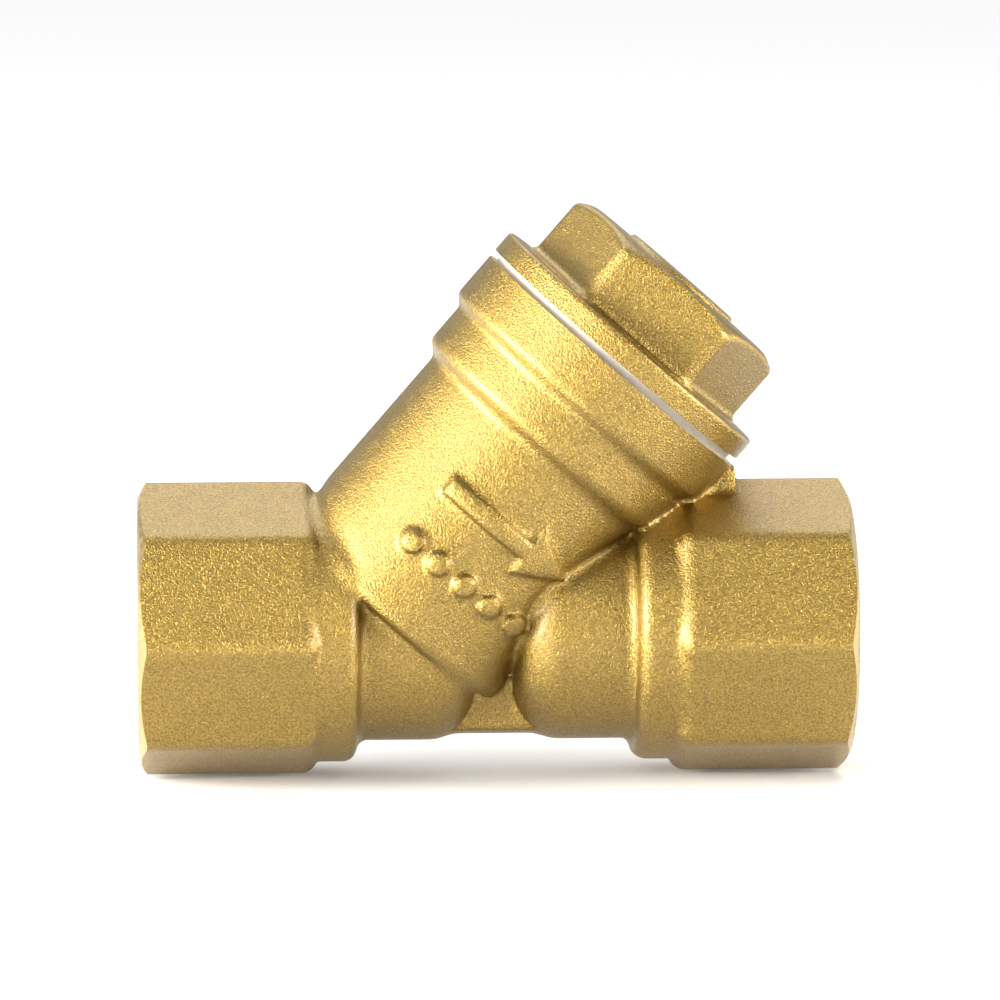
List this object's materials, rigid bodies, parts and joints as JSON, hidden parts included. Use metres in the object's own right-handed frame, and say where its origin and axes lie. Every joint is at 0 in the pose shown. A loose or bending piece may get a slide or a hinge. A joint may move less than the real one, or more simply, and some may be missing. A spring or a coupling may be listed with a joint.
{
  "type": "y strainer",
  "caption": "Brass Y strainer with octagonal female-threaded ends, a leaning branch closed by a hexagon-headed screw cap on a flat gasket, and a withdrawable cylindrical screen.",
  "frame": {"origin": "centre of the inlet port's face, on the run's axis", "axes": "+X along the run in the direction of flow, +Z towards the branch's side, the branch leans over the outlet in the XZ plane"},
  "size_m": [0.065, 0.0292, 0.0522],
  "materials": {
    "body_brass": "blasted satin, with machined port and mouth faces",
    "cap_brass": "blasted satin",
    "gasket": "plain off-white PTFE",
    "screen_steel": "plain stainless sheet"
  },
  "bodies": {
    "body": {"body": "body_brass"},
    "screen": {"screen_mesh": "screen_steel", "screen_top_ring": "screen_steel", "screen_bottom_ring": "screen_steel", "screen_seam_strip": "screen_steel"},
    "gasket": {"cap_gasket": "gasket"},
    "cap": {"cap": "cap_brass"}
  },
  "joints": [
    {"name": "screen_withdraw", "type": "slide", "parent": "body", "child": "screen", "axis": [0.6561, 0, 0.7547], "range_m": [0, 0.032]},
    {"name": "cap_lift", "type": "slide", "parent": "screen", "child": "gasket", "axis": [0.6561, 0, 0.7547], "range_m": [0, 0.00826]},
    {"name": "cap_turn", "type": "hinge", "parent": "gasket", "child": "cap", "pos_m": [0.04375, 0, 0.02502], "axis": [0.6561, 0, 0.7547], "range_deg": [0, 1980]}
  ],
  "couplings": [
    {"joint": "cap_lift", "follows": "cap_turn", "m_per_rad": 0.00023873}
  ]
}
